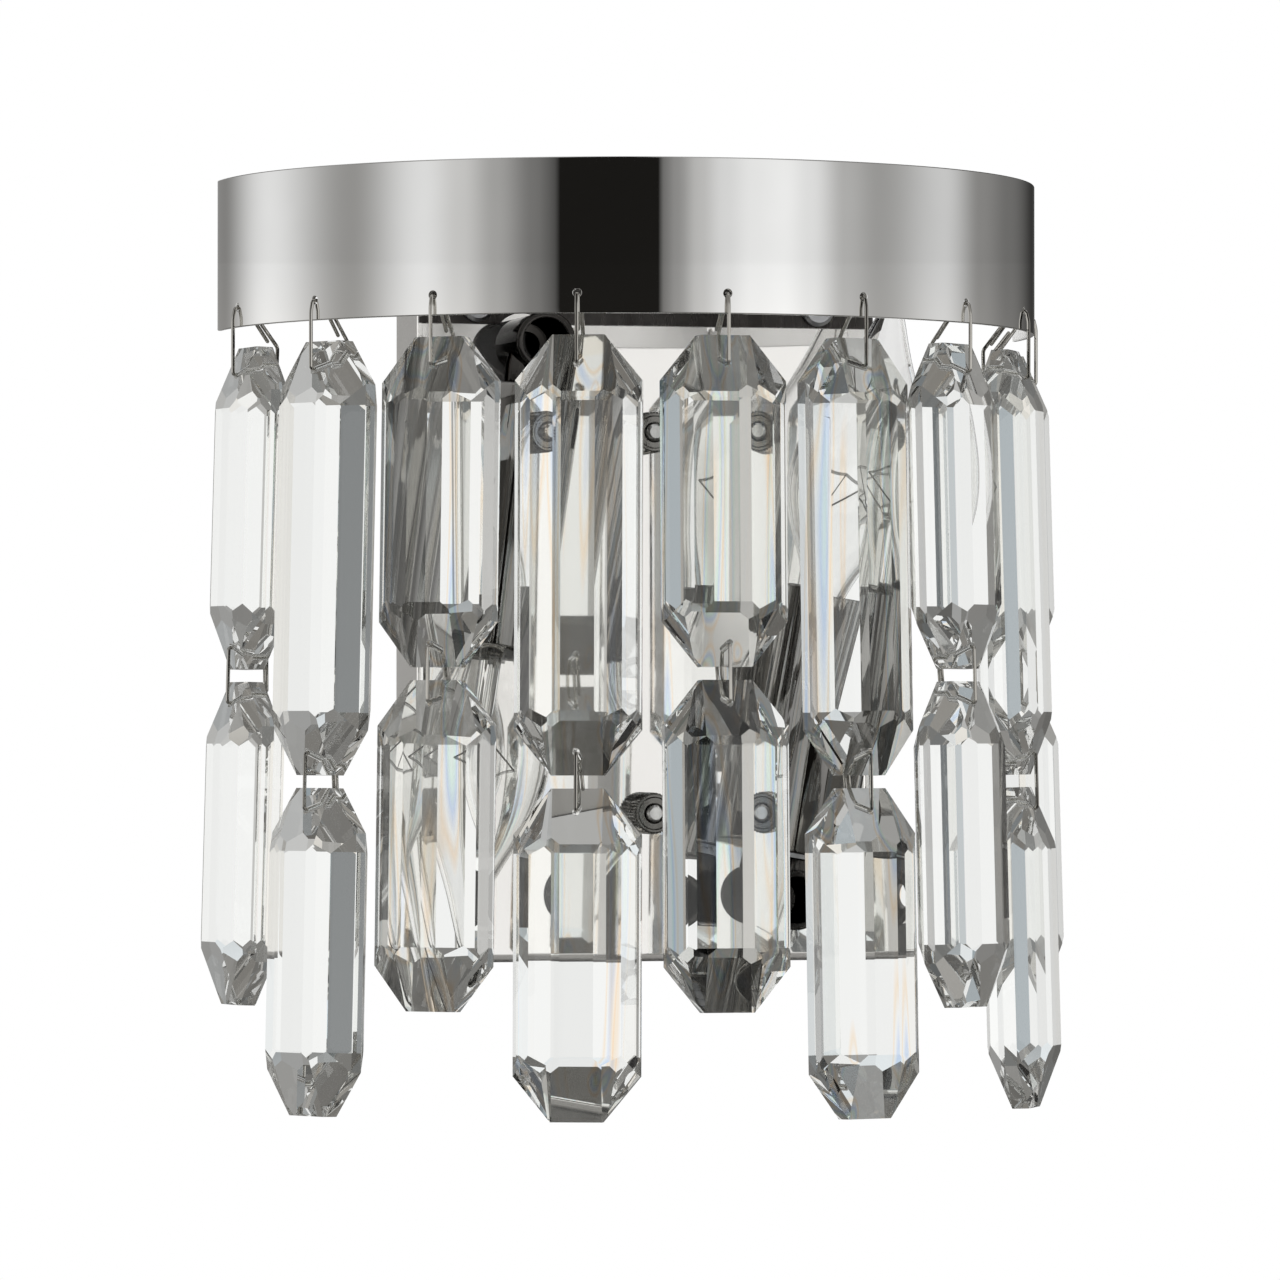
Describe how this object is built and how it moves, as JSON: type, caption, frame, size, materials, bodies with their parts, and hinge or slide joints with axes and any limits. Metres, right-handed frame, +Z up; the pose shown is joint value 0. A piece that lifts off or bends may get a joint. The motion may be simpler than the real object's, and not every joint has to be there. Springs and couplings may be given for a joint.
{
  "type": "wall sconce",
  "caption": "Half-round polished wall sconce with strings of hanging cut prisms, a mirror back plate, thumb nuts and candle lamps pointing up and down.",
  "frame": {"origin": "centre of the back plate, on the wall plane, which is the strap's back face", "axes": "+Z up, -Y out from the wall into the room, +X to the right of someone facing the wall"},
  "size_m": [0.2128, 0.1073, 0.2218],
  "materials": {
    "band_nickel": "mirror-polished nickel strip",
    "plate_nickel": "mirror-polished nickel sheet, slightly warm",
    "bracket_steel": "plain nickel-plated sheet, in shade",
    "zinc_steel": "zinc plated",
    "stud_steel": "bright threaded steel",
    "thumb_nut_nickel": "knurled dark nickel",
    "terminal_plastic": "moulded polyamide",
    "lamp_nickel": "polished nickel tube",
    "sleeve_nickel": "polished dark nickel sleeve",
    "socket_plastic": "heat-resistant moulding",
    "contact_brass": "pressed brass",
    "hook_wire": "nickel-plated wire",
    "crystal": "cut and polished clear crystal",
    "bulb_glass": "clear blown glass",
    "cap_nickel": "rolled nickel-plated cap",
    "filament_wire": "drawn wire on a glass stem"
  },
  "bodies": {
    "fitting": {"band": "band_nickel", "band_bracket": "bracket_steel", "bracket_fasteners": "zinc_steel", "back_plate": "plate_nickel", "wall_strap": "zinc_steel", "strap_studs": "stud_steel", "terminal_block": "terminal_plastic", "elbow_left": "lamp_nickel", "elbow_right": "lamp_nickel", "elbow_lock_nuts": "zinc_steel", "lamp_nipples": "zinc_steel", "lamp_sleeve_left": "sleeve_nickel", "lamp_sleeve_right": "sleeve_nickel", "lamp_sockets": "socket_plastic", "socket_contacts": "contact_brass"},
    "thumb_nut_top": {"thumb_nut_top": "thumb_nut_nickel"},
    "thumb_nut_bottom": {"thumb_nut_bottom": "thumb_nut_nickel"},
    "bulb_left": {"bulb_glass_left": "bulb_glass", "bulb_cap_left": "cap_nickel", "filament_mount_left": "filament_wire"},
    "bulb_right": {"bulb_glass_right": "bulb_glass", "bulb_cap_right": "cap_nickel", "filament_mount_right": "filament_wire"},
    "upper_crystal_1": {"band_hook_1": "hook_wire", "upper_prism_1": "crystal"},
    "lower_crystal_1": {"prism_link_1": "hook_wire", "lower_prism_1": "crystal"},
    "upper_crystal_2": {"band_hook_2": "hook_wire", "upper_prism_2": "crystal"},
    "lower_crystal_2": {"prism_link_2": "hook_wire", "lower_prism_2": "crystal"},
    "upper_crystal_3": {"band_hook_3": "hook_wire", "upper_prism_3": "crystal"},
    "lower_crystal_3": {"prism_link_3": "hook_wire", "lower_prism_3": "crystal"},
    "upper_crystal_4": {"band_hook_4": "hook_wire", "upper_prism_4": "crystal"},
    "lower_crystal_4": {"prism_link_4": "hook_wire", "lower_prism_4": "crystal"},
    "upper_crystal_5": {"band_hook_5": "hook_wire", "upper_prism_5": "crystal"},
    "lower_crystal_5": {"prism_link_5": "hook_wire", "lower_prism_5": "crystal"},
    "upper_crystal_6": {"band_hook_6": "hook_wire", "upper_prism_6": "crystal"},
    "lower_crystal_6": {"prism_link_6": "hook_wire", "lower_prism_6": "crystal"},
    "upper_crystal_7": {"band_hook_7": "hook_wire", "upper_prism_7": "crystal"},
    "lower_crystal_7": {"prism_link_7": "hook_wire", "lower_prism_7": "crystal"},
    "upper_crystal_8": {"band_hook_8": "hook_wire", "upper_prism_8": "crystal"},
    "lower_crystal_8": {"prism_link_8": "hook_wire", "lower_prism_8": "crystal"},
    "upper_crystal_9": {"band_hook_9": "hook_wire", "upper_prism_9": "crystal"},
    "lower_crystal_9": {"prism_link_9": "hook_wire", "lower_prism_9": "crystal"}
  },
  "joints": [
    {"name": "thumb_nut_top_turn", "type": "hinge", "parent": "fitting", "child": "thumb_nut_top", "pos_m": [0, -0.024, 0.0455], "axis": [0, -1, 0], "continuous": true},
    {"name": "thumb_nut_bottom_turn", "type": "hinge", "parent": "fitting", "child": "thumb_nut_bottom", "pos_m": [0, -0.024, -0.0455], "axis": [0, -1, 0], "continuous": true},
    {"name": "bulb_left_out", "type": "slide", "parent": "fitting", "child": "bulb_left", "axis": [-0.1635, -0.0899, -0.9824], "range_m": [0, 0.021]},
    {"name": "bulb_right_out", "type": "slide", "parent": "fitting", "child": "bulb_right", "axis": [0.1635, -0.0899, 0.9824], "range_m": [0, 0.021]},
    {"name": "string_1_swing", "type": "hinge", "parent": "fitting", "child": "upper_crystal_1", "pos_m": [-0.09789, -0.01726, 0.0746], "axis": [-0.1736, 0.9848, 0], "range_deg": [0, 22]},
    {"name": "lower_1_sway", "type": "hinge", "parent": "upper_crystal_1", "child": "lower_crystal_1", "pos_m": [-0.09584, -0.0169, -0.00624], "axis": [-0.9844, -0.1736, 0.0279], "range_deg": [-3, 3]},
    {"name": "string_2_swing", "type": "hinge", "parent": "fitting", "child": "upper_crystal_2", "pos_m": [-0.08608, -0.0497, 0.0746], "axis": [-0.5, 0.866, 0], "range_deg": [0, 22]},
    {"name": "lower_2_sway", "type": "hinge", "parent": "upper_crystal_2", "child": "lower_crystal_2", "pos_m": [-0.08488, -0.04901, -0.03123], "axis": [-0.8657, -0.4998, 0.0279], "range_deg": [-3, 3]},
    {"name": "string_3_swing", "type": "hinge", "parent": "fitting", "child": "upper_crystal_3", "pos_m": [-0.06389, -0.07614, 0.0746], "axis": [-0.766, 0.6428, 0], "range_deg": [0, 22]},
    {"name": "lower_3_sway", "type": "hinge", "parent": "upper_crystal_3", "child": "lower_crystal_3", "pos_m": [-0.06256, -0.07455, -0.00624], "axis": [-0.6425, -0.7657, 0.0279], "range_deg": [-3, 3]},
    {"name": "string_4_swing", "type": "hinge", "parent": "fitting", "child": "upper_crystal_4", "pos_m": [-0.034, -0.09341, 0.0746], "axis": [-0.9397, 0.342, 0], "range_deg": [0, 22]},
    {"name": "lower_4_sway", "type": "hinge", "parent": "upper_crystal_4", "child": "lower_crystal_4", "pos_m": [-0.03352, -0.09211, -0.03123], "axis": [-0.3419, -0.9393, 0.0279], "range_deg": [-3, 3]},
    {"name": "string_5_swing", "type": "hinge", "parent": "fitting", "child": "upper_crystal_5", "pos_m": [0, -0.0994, 0.0746], "axis": [-1, 0, 0], "range_deg": [0, 22]},
    {"name": "lower_5_sway", "type": "hinge", "parent": "upper_crystal_5", "child": "lower_crystal_5", "pos_m": [0, -0.09732, -0.00624], "axis": [0, -0.9996, 0.0279], "range_deg": [-3, 3]},
    {"name": "string_6_swing", "type": "hinge", "parent": "fitting", "child": "upper_crystal_6", "pos_m": [0.034, -0.09341, 0.0746], "axis": [-0.9397, -0.342, 0], "range_deg": [0, 22]},
    {"name": "lower_6_sway", "type": "hinge", "parent": "upper_crystal_6", "child": "lower_crystal_6", "pos_m": [0.03352, -0.09211, -0.03123], "axis": [0.3419, -0.9393, 0.0279], "range_deg": [-3, 3]},
    {"name": "string_7_swing", "type": "hinge", "parent": "fitting", "child": "upper_crystal_7", "pos_m": [0.06389, -0.07614, 0.0746], "axis": [-0.766, -0.6428, 0], "range_deg": [0, 22]},
    {"name": "lower_7_sway", "type": "hinge", "parent": "upper_crystal_7", "child": "lower_crystal_7", "pos_m": [0.06256, -0.07455, -0.00624], "axis": [0.6425, -0.7657, 0.0279], "range_deg": [-3, 3]},
    {"name": "string_8_swing", "type": "hinge", "parent": "fitting", "child": "upper_crystal_8", "pos_m": [0.08608, -0.0497, 0.0746], "axis": [-0.5, -0.866, 0], "range_deg": [0, 22]},
    {"name": "lower_8_sway", "type": "hinge", "parent": "upper_crystal_8", "child": "lower_crystal_8", "pos_m": [0.08488, -0.04901, -0.03123], "axis": [0.8657, -0.4998, 0.0279], "range_deg": [-3, 3]},
    {"name": "string_9_swing", "type": "hinge", "parent": "fitting", "child": "upper_crystal_9", "pos_m": [0.09789, -0.01726, 0.0746], "axis": [-0.1736, -0.9848, 0], "range_deg": [0, 22]},
    {"name": "lower_9_sway", "type": "hinge", "parent": "upper_crystal_9", "child": "lower_crystal_9", "pos_m": [0.09584, -0.0169, -0.00624], "axis": [0.9844, -0.1736, 0.0279], "range_deg": [-3, 3]}
  ]
}
